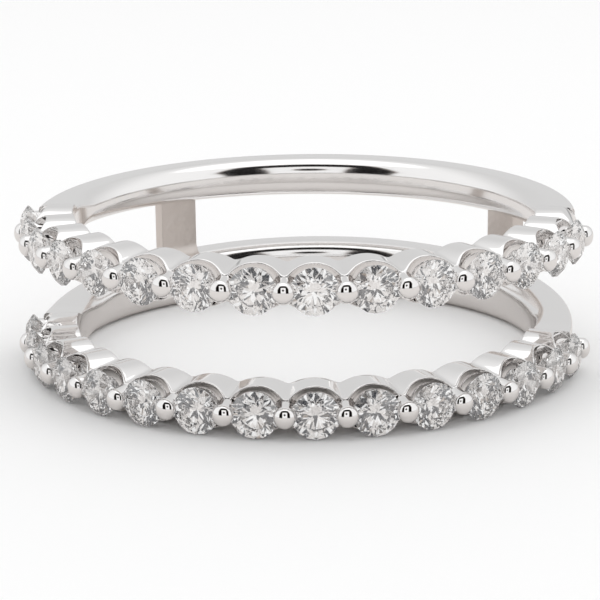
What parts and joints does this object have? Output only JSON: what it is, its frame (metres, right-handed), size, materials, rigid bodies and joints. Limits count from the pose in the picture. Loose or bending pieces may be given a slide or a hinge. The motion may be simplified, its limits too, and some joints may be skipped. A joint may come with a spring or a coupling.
{
  "type": "ring guard enhancer",
  "caption": "Ring guard of two round-stone bands joined by posts at the back, with a gap between them for a solitaire ring.",
  "frame": {"origin": "on the finger axis, at the flat base of the lower band that the ring lies on", "axes": "+Z along the finger axis, up through the upper band; -Y towards the middle of the lower stone row; +X to the right of someone who faces the stones"},
  "size_m": [0.0208, 0.0202, 0.0057],
  "materials": {
    "white_gold": "mirror polished white gold",
    "diamond": "clear, cut and polished"
  },
  "bodies": {
    "root": {"guard_metal": "white_gold", "upper_stone_1": "diamond", "upper_stone_2": "diamond", "upper_stone_3": "diamond", "upper_stone_4": "diamond", "upper_stone_5": "diamond", "upper_stone_6": "diamond", "upper_stone_7": "diamond", "upper_stone_8": "diamond", "upper_stone_9": "diamond", "upper_stone_10": "diamond", "upper_stone_11": "diamond", "upper_stone_12": "diamond", "upper_stone_13": "diamond", "upper_stone_14": "diamond", "upper_stone_15": "diamond", "lower_stone_1": "diamond", "lower_stone_2": "diamond", "lower_stone_3": "diamond", "lower_stone_4": "diamond", "lower_stone_5": "diamond", "lower_stone_6": "diamond", "lower_stone_7": "diamond", "lower_stone_8": "diamond", "lower_stone_9": "diamond", "lower_stone_10": "diamond", "lower_stone_11": "diamond", "lower_stone_12": "diamond", "lower_stone_13": "diamond", "lower_stone_14": "diamond", "lower_stone_15": "diamond"}
  },
  "joints": []
}
